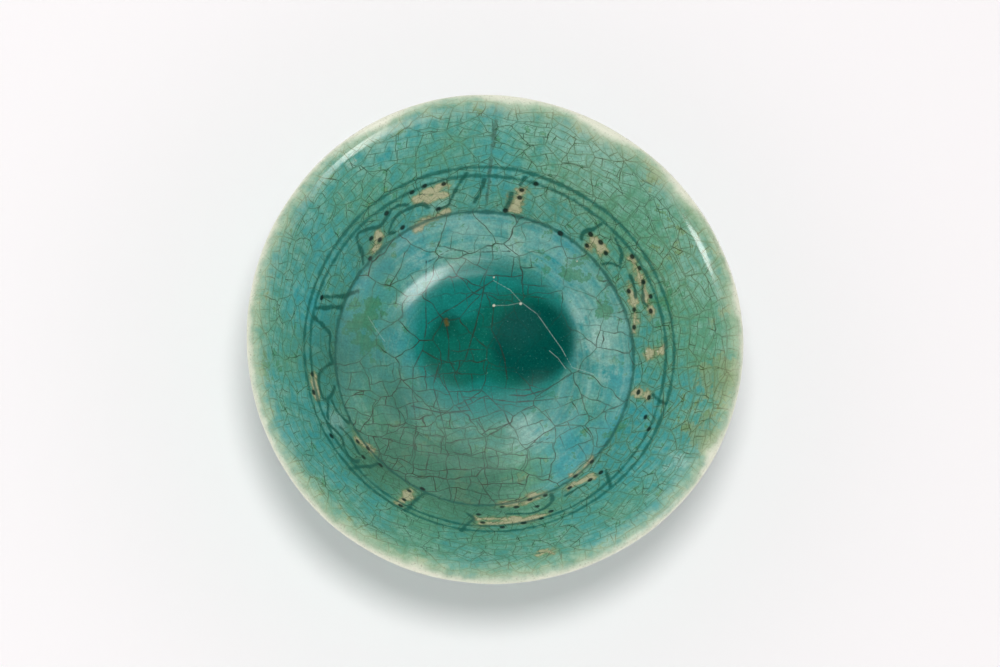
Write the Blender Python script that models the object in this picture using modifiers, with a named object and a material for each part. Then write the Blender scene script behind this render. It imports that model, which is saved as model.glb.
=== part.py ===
"""A glazed stonepaste bowl on a low foot ring, taken apart into the layers it was made in.

The potter throws the body, lutes a foot ring under it, paints three banding lines inside,
and dips it in a turquoise glaze that coats both faces, thins over the lip and runs down
into a pool in the well. Every coat follows one meridian of the body at a set distance.

Units are metres. The bowl stands on z = 0 and its turning axis is the z axis.
"""

import math

import bmesh
import bpy

# Overall size, measured over the glaze
RIM_RADIUS = 0.080
HEIGHT = 0.062

# Foot ring
FOOT_RADIUS = 0.031
FOOT_HEIGHT = 0.009
FOOT_WALL = 0.0065
FOOT_TAPER = 0.0015
FOOT_EDGE = 0.0008

# Body: the well over the foot, the shelf round it, and the flaring wall
FLOOR_THICKNESS = 0.0045
WELL_FLOOR_RADIUS = 0.019
WELL_FLOOR_FILLET = 0.008
WELL_RADIUS = 0.0335
WELL_DEPTH = 0.0072
WELL_SHOULDER_FILLET = 0.006
SHELF_RADIUS = 0.048
SHELF_RISE = 0.0019
SHELF_FILLET = 0.008
SHELF_THICKNESS = 0.006
CARINATION_FILLET = 0.014
LIP_THICKNESS = 0.0035
SEAT_LEDGE = 0.001
SEAT_FILLET = 0.002

# Glaze coats, and the gap that stands for each bond
BOND_GAP = 0.0003
COAT = 0.0012
LIP_COAT = 0.0006
LIP_BAND = 0.0015
POOL_DEPTH = 0.0050
POOL_DISH = 0.0028

# Outside, the coat stops short of the foot in a thick roll with runs
STOP_LENGTH = 0.006
ROLL_LENGTH = 0.003
ROLL_THICKNESS = 0.0008
RUN_WIDTH = math.radians(9)
RUNS = (  # angle round the bowl, length of the run
    (math.radians(28), 0.0055),
    (math.radians(97), 0.0030),
    (math.radians(163), 0.0065),
    (math.radians(236), 0.0035),
    (math.radians(310), 0.0050),
)

# Painted banding lines: how far each lies up the wall from the shelf's fillet
LINE_WIDTH = 0.0014
LINE_THICKNESS = 0.0004
LINE_CLEARANCE = 0.0003
LINE_RISES = {
    "lower_painted_ring": 0.0011,
    "middle_painted_ring": 0.0160,
    "upper_painted_ring": 0.0197,
}

# Firing pulls the rim out of round
OVAL = 0.0002
OVAL_ANGLE = math.radians(52)
LOBE = 0.00062
LOBE_ANGLE = math.radians(-8.5)

# Fineness of the facets
TURN_STEPS = 64
ARC_STEP = math.radians(23)
POOL_STEPS = 6
MERGE = 1e-6
SHARP = math.radians(40)

# Colours, linear
STONEPASTE = (0.56, 0.45, 0.30)
TURQUOISE = (0.075, 0.32, 0.29)
PALE_GLAZE = (0.52, 0.56, 0.40)
POOL_GREEN = (0.004, 0.10, 0.085)
LINE_GREEN = (0.008, 0.075, 0.062)


# The meridian of the body, as corners of (radius, height, fillet)

under_height = FOOT_HEIGHT + BOND_GAP
floor_height = under_height + FLOOR_THICKNESS
well_edge_height = floor_height + WELL_DEPTH
shelf_height = well_edge_height + SHELF_RISE
lip_cover = BOND_GAP + LIP_COAT
lip_round = LIP_THICKNESS / 2


def body_corners():
    """The body's outline from the middle of the floor, over the lip, to the middle underneath.

    The inside of the wall runs from the shelf to touch the round lip, and the outside comes
    back from the lip to a carination that lies one shelf thickness below the inner corner.
    """
    lip_radius = RIM_RADIUS - lip_cover - lip_round
    lip_height = HEIGHT - lip_cover - lip_round
    run, rise = lip_radius - SHELF_RADIUS, lip_height - shelf_height
    slope = math.atan2(rise, run) + math.asin(lip_round / math.hypot(run, rise))
    along = (math.cos(slope), math.sin(slope))
    inward = (-along[1], along[0])
    ends = [
        (
            lip_radius + lip_round * (along[0] + side * inward[0]),
            lip_height + lip_round * (along[1] + side * inward[1]),
        )
        for side in (1, -1)
    ]
    shelf_slope = math.atan2(SHELF_RISE, SHELF_RADIUS - WELL_RADIUS)
    middle = (slope + shelf_slope) / 2 + math.pi / 2
    depth = SHELF_THICKNESS / math.cos((slope - shelf_slope) / 2)
    carination = (
        SHELF_RADIUS - depth * math.cos(middle),
        shelf_height - depth * math.sin(middle),
    )
    return [
        (0, floor_height, 0),
        (WELL_FLOOR_RADIUS, floor_height, WELL_FLOOR_FILLET),
        (WELL_RADIUS, well_edge_height, WELL_SHOULDER_FILLET),
        (SHELF_RADIUS, shelf_height, SHELF_FILLET),
        (*ends[0], lip_round),
        (*ends[1], lip_round),
        (*carination, CARINATION_FILLET),
        (FOOT_RADIUS + SEAT_LEDGE, under_height, SEAT_FILLET),
        (0, under_height, 0),
    ]


class Meridian:
    """A rounded outline, with each point's normal and its distance along the outline."""

    def __init__(self, corners):
        self.points = []
        self.normals = []
        self.lengths = []
        self.fillet_ends = []
        for before, corner, after in zip([None, *corners], corners, [*corners[1:], None]):
            self.add_corner(before, corner, after)

    def add_point(self, radius, height, angle):
        """One point, where the outline's direction is angle and its normal lies to the left."""
        if self.points:
            self.lengths.append(self.lengths[-1] + math.dist(self.points[-1], (radius, height)))
        else:
            self.lengths.append(0.0)
        self.points.append((radius, height))
        self.normals.append((-math.sin(angle), math.cos(angle)))

    def add_corner(self, before, corner, after):
        """A corner's fillet as steps of an arc, or an end of the outline as one point."""
        radius, height, fillet = corner
        arriving = before and math.atan2(height - before[1], radius - before[0])
        leaving = after and math.atan2(after[1] - height, after[0] - radius)
        if before is None or after is None:
            self.add_point(radius, height, leaving if before is None else arriving)
        else:
            turn = math.remainder(leaving - arriving, math.tau)
            back = fillet * math.tan(abs(turn) / 2)
            side = math.copysign(math.pi / 2, turn)
            centre = (
                radius - back * math.cos(arriving) + fillet * math.cos(arriving + side),
                height - back * math.sin(arriving) + fillet * math.sin(arriving + side),
            )
            steps = max(1, math.ceil(abs(turn) / ARC_STEP))
            for step in range(steps + 1):
                angle = arriving + turn * step / steps
                self.add_point(
                    centre[0] - fillet * math.cos(angle + side),
                    centre[1] - fillet * math.sin(angle + side),
                    angle,
                )
        self.fillet_ends.append(self.lengths[-1])

    def at(self, length, offset):
        """The point this far along the outline, and this far out from it."""
        last = len(self.lengths) - 2
        index = next((i for i in range(last) if self.lengths[i + 1] > length), last)
        span = self.lengths[index + 1] - self.lengths[index]
        share = (length - self.lengths[index]) / span
        pairs = zip(
            self.points[index], self.points[index + 1], self.normals[index], self.normals[index + 1]
        )
        return tuple(
            a + share * (b - a) + offset * (m + share * (n - m)) for a, b, m, n in pairs
        )

    def stations(self, start, end):
        """Distances along the outline at both ends and at every point between them."""
        return [start, *(s for s in self.lengths if start < s < end), end]

    def reaches(self, height, offset):
        """How far along the outline, moved out by offset, first rises to this height."""
        heights = [self.at(s, offset)[1] for s in self.lengths]
        index = next(i for i, z in enumerate(heights) if z > height)
        share = (height - heights[index - 1]) / (heights[index] - heights[index - 1])
        return self.lengths[index - 1] + share * (self.lengths[index] - self.lengths[index - 1])

    def coat(self, start, end, low, high, grooves=()):
        """The closed section of a coat, with square grooves of (middle, width, floor)."""
        top = [(s, high) for s in self.stations(start, end)]
        for middle, width, floor in grooves:
            first, last = middle - width / 2, middle + width / 2
            top = [(s, out) for s, out in top if not first < s < last]
            top += [(first, high), (first, floor), (last, floor), (last, high)]
        top.sort(key=lambda station: station[0])
        under = [(s, low) for s in reversed(self.stations(start, end))]
        return [self.at(s, out) for s, out in top + under]


body = Meridian(body_corners())
CORNERS = ("axis", "floor", "well", "shelf", "lip_in", "lip_out", "carination", "seat", "under")
fillet_end = dict(zip(CORNERS, body.fillet_ends))
lip_middle = fillet_end["lip_in"]
coat_top = BOND_GAP + COAT
pool_height = floor_height + POOL_DEPTH
line_middles = {name: fillet_end["shelf"] + rise for name, rise in LINE_RISES.items()}


# Turning, firing and colour

parts = bpy.data.collections.new("glazed_bowl")


def clear_scene():
    for thing in list(bpy.data.objects):
        bpy.data.objects.remove(thing)
    bpy.context.scene.collection.children.link(parts)


def finish(name, colour, roughness):
    material = bpy.data.materials.new(name)
    material.use_nodes = True
    shader = material.node_tree.nodes["Principled BSDF"]
    shader.inputs["Base Color"].default_value = (*colour, 1)
    shader.inputs["Roughness"].default_value = roughness
    shader.inputs["Metallic"].default_value = 0
    return material


def kiln_warp(x, y, z):
    """Where a turned point ends up after firing: the rim goes out of round, the foot stays true."""
    angle = math.atan2(y, x)
    share = max(0.0, (z - under_height) / (HEIGHT - under_height)) ** 2
    pull = OVAL * math.cos(2 * (angle - OVAL_ANGLE)) + LOBE * math.cos(3 * (angle - LOBE_ANGLE))
    scale = 1 + share * pull / RIM_RADIUS
    return x * scale, y * scale, z


def turned(name, section, material, closed=True, shaped=None):
    """A section of (radius, height) points turned about the z axis, shaped by hand, then fired."""
    count = len(section)
    profile = bpy.data.meshes.new(name + "_section")
    edges = [(i, (i + 1) % count) for i in range(count if closed else count - 1)]
    profile.from_pydata([(radius, 0, height) for radius, height in section], edges, [])
    spun = bpy.data.objects.new(name + "_section", profile)
    parts.objects.link(spun)
    screw = spun.modifiers.new("turn", "SCREW")
    screw.steps = TURN_STEPS
    screw.render_steps = TURN_STEPS
    screw.use_merge_vertices = True
    screw.merge_threshold = MERGE
    evaluated = spun.evaluated_get(bpy.context.evaluated_depsgraph_get())
    mesh = bpy.data.meshes.new_from_object(evaluated)
    bpy.data.objects.remove(spun)
    mesh.name = name
    for vertex in mesh.vertices:
        point = shaped(*vertex.co) if shaped else vertex.co
        vertex.co = kiln_warp(*point)
    close_and_shade(mesh)
    mesh.materials.append(material)
    piece = bpy.data.objects.new(name, mesh)
    parts.objects.link(piece)
    return piece


def close_and_shade(mesh):
    edited = bmesh.new()
    edited.from_mesh(mesh)
    bmesh.ops.remove_doubles(edited, verts=edited.verts, dist=MERGE)
    bmesh.ops.recalc_face_normals(edited, faces=edited.faces)
    edited.to_mesh(mesh)
    edited.free()
    mesh.shade_smooth()
    mesh.set_sharp_from_angle(angle=SHARP)


# The pieces, in the order the bowl is made

def stonepaste_body():
    turned("stonepaste_body", body.points, finish("stonepaste", STONEPASTE, 0.8), closed=False)


def foot_ring():
    """A tapered ring luted under the floor, with its edges softened by the turning tool."""
    foot = FOOT_RADIUS - FOOT_TAPER
    hollow = FOOT_RADIUS - FOOT_WALL
    section = [
        (hollow, FOOT_HEIGHT),
        (FOOT_RADIUS, FOOT_HEIGHT),
        (foot, FOOT_EDGE),
        (foot - FOOT_EDGE, 0),
        (hollow + FOOT_EDGE, 0),
        (hollow, FOOT_EDGE),
    ]
    turned("foot_ring", section, finish("foot_stonepaste", STONEPASTE, 0.85))


def painted_rings():
    """Three lines laid in the coat, each in a groove of its own and level with the surface."""
    for name, middle in line_middles.items():
        start, end = middle - LINE_WIDTH / 2, middle + LINE_WIDTH / 2
        section = body.coat(start, end, coat_top - LINE_THICKNESS, coat_top)
        turned(name, section, finish(name, LINE_GREEN, 0.25))


def inner_glaze():
    """The coat inside, from the edge of the pool up the wall to the pale lip."""
    start = body.reaches(pool_height + BOND_GAP, BOND_GAP)
    end = lip_middle - lip_round * math.pi / 2 - LIP_BAND
    groove_floor = coat_top - LINE_THICKNESS - LINE_CLEARANCE
    width = LINE_WIDTH + 2 * LINE_CLEARANCE
    grooves = [(middle, width, groove_floor) for middle in line_middles.values()]
    section = body.coat(start, end, BOND_GAP, coat_top, grooves)
    turned("inner_glaze", section, finish("turquoise_inside", TURQUOISE, 0.12))


def well_glaze_pool():
    """Glaze that ran down and set as a thick lens, dished where it climbs the well."""
    edge = body.reaches(pool_height, BOND_GAP)
    edge_radius = body.at(edge, BOND_GAP)[0]
    section = []
    for step in range(POOL_STEPS):
        share = step / POOL_STEPS
        section.append((edge_radius * share, pool_height - POOL_DISH * (1 - share**2)))
    section += [body.at(s, BOND_GAP) for s in reversed(body.stations(0, edge))]
    turned("well_glaze_pool", section, finish("pool_glass", POOL_GREEN, 0.08), closed=False)


def lip_glaze():
    """The thin pale band where the glaze drew back from the lip."""
    reach = lip_round * math.pi / 2 + LIP_BAND - BOND_GAP
    section = body.coat(lip_middle - reach, lip_middle + reach, BOND_GAP, lip_cover)
    turned("lip_glaze", section, finish("pale_lip", PALE_GLAZE, 0.2))


def run_length(angle):
    """How much further than the stop line the outer coat ran at this angle."""
    return sum(
        length * math.exp(-((math.remainder(angle - at, math.tau) / RUN_WIDTH) ** 2))
        for at, length in RUNS
    )


def outer_glaze():
    """The coat outside, from the lip to a thick rolled edge with runs, short of the foot."""
    start = lip_middle + lip_round * math.pi / 2 + LIP_BAND
    turn = fillet_end["carination"]
    end = turn + STOP_LENGTH
    section = body.coat(start, end, BOND_GAP, coat_top)
    last = body.stations(start, end).index(end)
    roll = [
        body.at(end - ROLL_LENGTH, coat_top + ROLL_THICKNESS / 2),
        body.at(end - ROLL_LENGTH / 2, coat_top + ROLL_THICKNESS),
        body.at(end - ROLL_LENGTH / 8, coat_top + ROLL_THICKNESS / 2),
    ]
    section[last:last] = roll
    bend = body.at(turn, 0)
    stop = body.at(end, 0)
    along = [(b - a) / STOP_LENGTH for a, b in zip(bend, stop)]

    def run_down(x, y, z):
        radius = math.hypot(x, y)
        reach = (radius - bend[0]) * along[0] + (z - bend[1]) * along[1]
        share = min(1.0, max(0.0, reach / STOP_LENGTH))
        further = share * run_length(math.atan2(y, x))
        scale = 1 + further * along[0] / radius
        return x * scale, y * scale, z + further * along[1]

    turned("outer_glaze", section, finish("turquoise_outside", TURQUOISE, 0.15), shaped=run_down)


clear_scene()
stonepaste_body()
foot_ring()
painted_rings()
inner_glaze()
well_glaze_pool()
lip_glaze()
outer_glaze()
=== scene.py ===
"""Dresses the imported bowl: turquoise glazed stonepaste, crackled all over, with three painted
rings, a band of brush strokes and dots, and a dark pool of glaze in its well.

Sizes are in millimetres and angles in degrees, anticlockwise from +X, unless a line says
otherwise. The frame is in metres, so each mesh is scaled by MM as it is written.
"""

import math

import bpy
import numpy as np
from mathutils import Matrix, Vector


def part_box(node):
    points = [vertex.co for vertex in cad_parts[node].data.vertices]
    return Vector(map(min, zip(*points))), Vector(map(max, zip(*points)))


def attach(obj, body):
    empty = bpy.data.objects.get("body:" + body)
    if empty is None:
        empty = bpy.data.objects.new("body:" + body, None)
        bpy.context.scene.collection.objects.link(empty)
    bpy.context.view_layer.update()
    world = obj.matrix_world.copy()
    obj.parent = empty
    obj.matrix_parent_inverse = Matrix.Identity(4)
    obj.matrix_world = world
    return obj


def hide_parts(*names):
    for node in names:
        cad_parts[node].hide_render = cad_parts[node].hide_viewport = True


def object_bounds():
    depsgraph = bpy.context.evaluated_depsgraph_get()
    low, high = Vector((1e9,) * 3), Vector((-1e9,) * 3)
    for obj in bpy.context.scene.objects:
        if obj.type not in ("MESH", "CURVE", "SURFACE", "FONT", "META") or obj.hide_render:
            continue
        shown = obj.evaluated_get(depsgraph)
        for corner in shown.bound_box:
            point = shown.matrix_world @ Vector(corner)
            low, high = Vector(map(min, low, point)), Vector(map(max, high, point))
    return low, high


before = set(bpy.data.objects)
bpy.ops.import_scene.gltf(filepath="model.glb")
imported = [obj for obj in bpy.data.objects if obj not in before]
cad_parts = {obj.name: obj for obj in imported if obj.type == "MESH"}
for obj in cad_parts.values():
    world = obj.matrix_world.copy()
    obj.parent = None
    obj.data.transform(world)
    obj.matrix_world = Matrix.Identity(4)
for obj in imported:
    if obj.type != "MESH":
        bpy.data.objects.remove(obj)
cad_low, cad_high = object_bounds()


# Stonepaste body
# Ground quartz, glass frit and a little white clay, thrown on a wheel and turned to its shape.
# The glaze hides all of it but the underside, which stays bare and cream round the foot.

MM = 0.001
_, foot_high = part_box("foot_ring")
bowl_height = cad_high.z / MM
foot_top = foot_high.z / MM
rim_radius = (cad_high.x - cad_low.x) / 2 / MM

BOND = 0.3
COAT = 1.5
LIP_COAT = 0.9
LIP_ROUND = 1.75
WALL_SLOPE = math.radians(53.3)
UNDER_SLOPE = math.radians(22.6)
BODY_FLOOR = foot_top + BOND + 4.5
BODY_ROWS = 0.9
BODY_COLUMNS = 320
TOUCHING = 0.001

lip_middle = np.array((rim_radius - LIP_ROUND - LIP_COAT, bowl_height - LIP_ROUND - LIP_COAT))
lip_up = np.array((math.cos(WALL_SLOPE), math.sin(WALL_SLOPE)))
lip_in = np.array((-lip_up[1], lip_up[0]))


def lip_corner(inward, upward, fillet):
    """A corner of an outline, set out from the middle of the round lip."""
    return (*(lip_middle + inward * lip_in + upward * lip_up), fillet)


def rounded(corners):
    """A fine line through (radius, height, fillet) corners, and the distance along it."""
    fine = math.radians(1.5)
    line = [corners[0][:2]]
    for before, corner, after in zip(corners, corners[1:], corners[2:]):
        radius, height, fillet = corner
        arriving = math.atan2(height - before[1], radius - before[0])
        leaving = math.atan2(after[1] - height, after[0] - radius)
        turn = math.remainder(leaving - arriving, math.tau)
        back = fillet * math.tan(abs(turn) / 2)
        side = math.copysign(math.pi / 2, turn)
        centre_radius = radius - back * math.cos(arriving) + fillet * math.cos(arriving + side)
        centre_height = height - back * math.sin(arriving) + fillet * math.sin(arriving + side)
        steps = max(2, math.ceil(abs(turn) / fine))
        for step in range(steps + 1):
            angle = arriving + turn * step / steps + side
            line.append((
                centre_radius - fillet * math.cos(angle), centre_height - fillet * math.sin(angle)))
    line.append(corners[-1][:2])
    line = np.array(line)
    along = np.concatenate([[0], np.cumsum(np.hypot(*np.diff(line, axis=0).T))])
    return line, along


def profile_mesh(name, outline, stations, pieces=()):
    """The outline's points at these stations, each with its distance along and its piece's number.

    The pieces are (number, end) in the order in which they follow each other along the outline.
    """
    line, along = outline
    radii = np.interp(stations, along, line[:, 0]) * MM
    heights = np.interp(stations, along, line[:, 1]) * MM
    mesh = bpy.data.meshes.new(name)
    mesh.from_pydata([(r, 0, z) for r, z in zip(radii, heights)], [], [])
    mesh.attributes.new("along", "FLOAT", "POINT").data.foreach_set("value", stations)
    numbers = [next((n for n, end in pieces if s < end - TOUCHING), 0) for s in stations]
    mesh.attributes.new("piece", "INT", "POINT").data.foreach_set("value", numbers)
    return mesh


def even_stations(*stretches):
    """Stations along an outline, from (start, end, spacing) stretches that follow each other."""
    parts = []
    for start, end, spacing in stretches:
        parts.append(np.linspace(start, end, math.ceil((end - start) / spacing), endpoint=False))
    return np.concatenate([*parts, [stretches[-1][1]]])


def add(tree, kind, inputs=None, **settings):
    """One node: its settings first, then each input linked to a node or socket, or set to a value."""
    node = tree.nodes.new(kind)
    for name, value in settings.items():
        setattr(node, name, value)
    for key, value in (inputs or {}).items():
        named = [s for s in node.inputs if s.enabled and s.name == key]
        socket = named[0] if named else node.inputs[key]
        if isinstance(value, bpy.types.Node):
            value = next(s for s in value.outputs if s.enabled)
        if isinstance(value, bpy.types.NodeSocket):
            tree.links.new(value, socket)
        else:
            socket.default_value = value
    return node


def stage_tree(name, **inputs):
    """A Geometry Nodes tree for one stage of the making, and the sockets of its named inputs."""
    tree = bpy.data.node_groups.new(name, "GeometryNodeTree")
    tree.interface.new_socket("Geometry", in_out="OUTPUT", socket_type="NodeSocketGeometry")
    tree.interface.new_socket("Geometry", in_out="INPUT", socket_type="NodeSocketGeometry")
    for label, kind in inputs.items():
        tree.interface.new_socket(label, in_out="INPUT", socket_type="NodeSocket" + kind)
    return tree, add(tree, "NodeGroupInput").outputs


MATH = "ShaderNodeMath"
VECTOR_MATH = "ShaderNodeVectorMath"
NOISE = "ShaderNodeTexNoise"
RANGE = "ShaderNodeMapRange"
STORE = "GeometryNodeStoreNamedAttribute"
NAMED = "GeometryNodeInputNamedAttribute"
SAMPLE = "GeometryNodeSampleIndex"
PLACE = "GeometryNodeSetPosition"


def turning_stage():
    """Turns a profile's points about the z axis into a closed surface that faces outwards."""
    tree, given = stage_tree("turned_on_the_wheel", Columns="Int")
    profile = given["Geometry"]
    size = add(tree, "GeometryNodeAttributeDomainSize", {"Geometry": profile}, component="MESH")
    count = size.outputs["Point Count"]
    across = add(tree, MATH, {0: given["Columns"], 1: 1}, operation="ADD")
    grid = add(tree, "GeometryNodeMeshGrid",
               {"Size X": 1, "Size Y": 1, "Vertices X": across, "Vertices Y": count})
    spot = add(tree, "ShaderNodeSeparateXYZ", {"Vector": add(tree, "GeometryNodeInputPosition")})
    last = add(tree, MATH, {0: count, 1: 1}, operation="SUBTRACT")
    share = add(tree, MATH, {0: spot.outputs["Y"], 1: 0.5}, operation="ADD")
    row = add(tree, MATH, {0: share, 1: last}, operation="MULTIPLY")
    whole_row = add(tree, MATH, {0: row}, operation="ROUND")
    along = add(tree, NAMED, {"Name": "along"}, data_type="FLOAT")
    along_here = add(tree, SAMPLE, {"Geometry": profile, "Value": along, "Index": whole_row},
                     data_type="FLOAT")
    surface = add(tree, STORE, {"Geometry": grid, "Name": "along", "Value": along_here}, data_type="FLOAT")
    piece = add(tree, NAMED, {"Name": "piece"}, data_type="INT")
    face_row = add(tree, MATH, {0: row}, operation="FLOOR")
    piece_here = add(tree, SAMPLE, {"Geometry": profile, "Value": piece, "Index": face_row},
                     data_type="INT")
    surface = add(tree, STORE, {"Geometry": surface, "Name": "piece", "Value": piece_here},
                  data_type="INT", domain="FACE")
    position = add(tree, "GeometryNodeInputPosition")
    point = add(tree, SAMPLE, {"Geometry": profile, "Value": position, "Index": whole_row},
                data_type="FLOAT_VECTOR")
    angle = add(tree, MATH, {0: spot.outputs["X"], 1: -math.tau}, operation="MULTIPLY")
    turned = add(tree, "ShaderNodeVectorRotate", {"Vector": point, "Angle": angle}, rotation_type="Z_AXIS")
    surface = add(tree, PLACE, {"Geometry": surface, "Position": turned})
    surface = add(tree, "GeometryNodeMergeByDistance", {"Geometry": surface, "Distance": TOUCHING * MM})
    surface = add(tree, "GeometryNodeSetShadeSmooth", {"Geometry": surface})
    add(tree, "NodeGroupOutput", {"Geometry": surface})
    return tree


def firing_stage():
    """Pulls the rim out of round and settles the surface into soft lumps and throwing rings."""
    tree, given = stage_tree(
        "fired_in_the_kiln", Oval="Float", OvalAngle="Float", Lobe="Float", LobeAngle="Float",
        FootTop="Float", Height="Float", RimRadius="Float", LumpDepth="Float", LumpSize="Float",
        RingDepth="Float", RingSpacing="Float")
    position = add(tree, "GeometryNodeInputPosition")
    place = add(tree, "ShaderNodeSeparateXYZ", {"Vector": position})
    angle = add(tree, MATH, {0: place.outputs["Y"], 1: place.outputs["X"]}, operation="ARCTAN2")
    pulls = []
    for waves, depth, at in ((2, "Oval", "OvalAngle"), (3, "Lobe", "LobeAngle")):
        past = add(tree, MATH, {0: angle, 1: given[at]}, operation="SUBTRACT")
        turns = add(tree, MATH, {0: past, 1: waves}, operation="MULTIPLY")
        wave = add(tree, MATH, {0: turns}, operation="COSINE")
        pulls.append(add(tree, MATH, {0: wave, 1: given[depth]}, operation="MULTIPLY"))
    pull = add(tree, MATH, {0: pulls[0], 1: pulls[1]}, operation="ADD")
    rise = add(tree, RANGE, {
        "Value": place.outputs["Z"], "From Min": given["FootTop"], "From Max": given["Height"]})
    share = add(tree, MATH, {0: rise, 1: 2}, operation="POWER")
    pull_here = add(tree, MATH, {0: pull, 1: share}, operation="MULTIPLY")
    pull_share = add(tree, MATH, {0: pull_here, 1: given["RimRadius"]}, operation="DIVIDE")
    outwards = add(tree, VECTOR_MATH, {0: position, 1: (1, 1, 0)}, operation="MULTIPLY")
    move = add(tree, VECTOR_MATH, {0: outwards, "Scale": pull_share}, operation="SCALE")
    surface = add(tree, PLACE, {"Geometry": given["Geometry"], "Offset": move})
    fineness = add(tree, MATH, {0: 1, 1: given["LumpSize"]}, operation="DIVIDE")
    lump = add(tree, NOISE, {"Vector": position, "Scale": fineness, "Detail": 1})
    lump = add(tree, MATH, {0: lump, 1: 0.5}, operation="SUBTRACT")
    lump = add(tree, MATH, {0: lump, 1: given["LumpDepth"]}, operation="MULTIPLY")
    along = add(tree, NAMED, {"Name": "along"}, data_type="FLOAT")
    ring = add(tree, MATH, {0: along, 1: given["RingSpacing"]}, operation="DIVIDE")
    ring = add(tree, MATH, {0: ring, 1: math.tau}, operation="MULTIPLY")
    ring = add(tree, MATH, {0: ring}, operation="SINE")
    ring = add(tree, MATH, {0: ring, 1: given["RingDepth"]}, operation="MULTIPLY")
    depth = add(tree, MATH, {0: lump, 1: ring}, operation="ADD")
    settle = add(tree, VECTOR_MATH, {0: add(tree, "GeometryNodeInputNormal"), "Scale": depth},
                 operation="SCALE")
    surface = add(tree, PLACE, {"Geometry": surface, "Offset": settle})
    surface = add(tree, STORE, {"Geometry": surface, "Name": "whole_normal",
                                "Value": add(tree, "GeometryNodeInputNormal")}, data_type="FLOAT_VECTOR")
    add(tree, "NodeGroupOutput", {"Geometry": surface})
    return tree


def parting_stage():
    """Keeps one piece of a turned surface, shaded as if the rest were still beside it."""
    tree, given = stage_tree("parted_by_layer", Piece="Int", Material="Material")
    piece = add(tree, NAMED, {"Name": "piece"}, data_type="INT")
    other = add(tree, "FunctionNodeCompare", {"A": piece, "B": given["Piece"]},
                data_type="INT", operation="NOT_EQUAL")
    surface = add(tree, "GeometryNodeDeleteGeometry", {"Geometry": given["Geometry"], "Selection": other},
                  domain="FACE")
    normal = add(tree, NAMED, {"Name": "whole_normal"}, data_type="FLOAT_VECTOR")
    surface = add(tree, "GeometryNodeSetMeshNormal", {"Mesh": surface, "Custom Normal": normal},
                  mode="FREE", domain="POINT")
    for name in ("whole_normal", "piece"):
        surface = add(tree, "GeometryNodeRemoveAttribute", {"Geometry": surface, "Name": name})
    surface = add(tree, "GeometryNodeRealizeInstances", {"Geometry": surface})
    surface = add(tree, "GeometryNodeSetMaterial", {"Geometry": surface, "Material": given["Material"]})
    add(tree, "NodeGroupOutput", {"Geometry": surface})
    return tree


turning = turning_stage()
firing = firing_stage()
parting = parting_stage()
KILN = {
    "Oval": 0.2 * MM,
    "OvalAngle": math.radians(52),
    "Lobe": 0.62 * MM,
    "LobeAngle": math.radians(-8.5),
    "FootTop": (foot_top + BOND) * MM,
    "Height": bowl_height * MM,
    "RimRadius": rim_radius * MM,
}


def shaped(name, mesh, *stages):
    """An object with this mesh, after stages of (tree, inputs) have worked on it."""
    piece = bpy.data.objects.new(name, mesh)
    bpy.context.scene.collection.objects.link(piece)
    for tree, values in stages:
        modifier = piece.modifiers.new(tree.name, "NODES")
        modifier.node_group = tree
        for item in tree.interface.items_tree:
            if item.in_out == "INPUT" and item.name in values:
                modifier[item.identifier] = values[item.name]
    depsgraph = bpy.context.evaluated_depsgraph_get()
    made = bpy.data.meshes.new_from_object(
        piece.evaluated_get(depsgraph), preserve_all_data_layers=True, depsgraph=depsgraph)
    piece.modifiers.clear()
    piece.data = made
    made.name = name
    return piece


def linear(code):
    """An sRGB hex colour as linear RGB with full alpha."""
    channels = [int(code[i:i + 2], 16) / 255 for i in (1, 3, 5)]
    return (*(c / 12.92 if c <= 0.04045 else ((c + 0.055) / 1.055) ** 2.4 for c in channels), 1)


def new_material(name):
    """A material with its shader and output, and its node tree."""
    material = bpy.data.materials.new(name)
    material.use_nodes = True
    tree = material.node_tree
    return material, tree, tree.nodes["Principled BSDF"]


MIX = "ShaderNodeMix"
STAIN_SIZE = 11
GRIT_SIZE = 0.7


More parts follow.
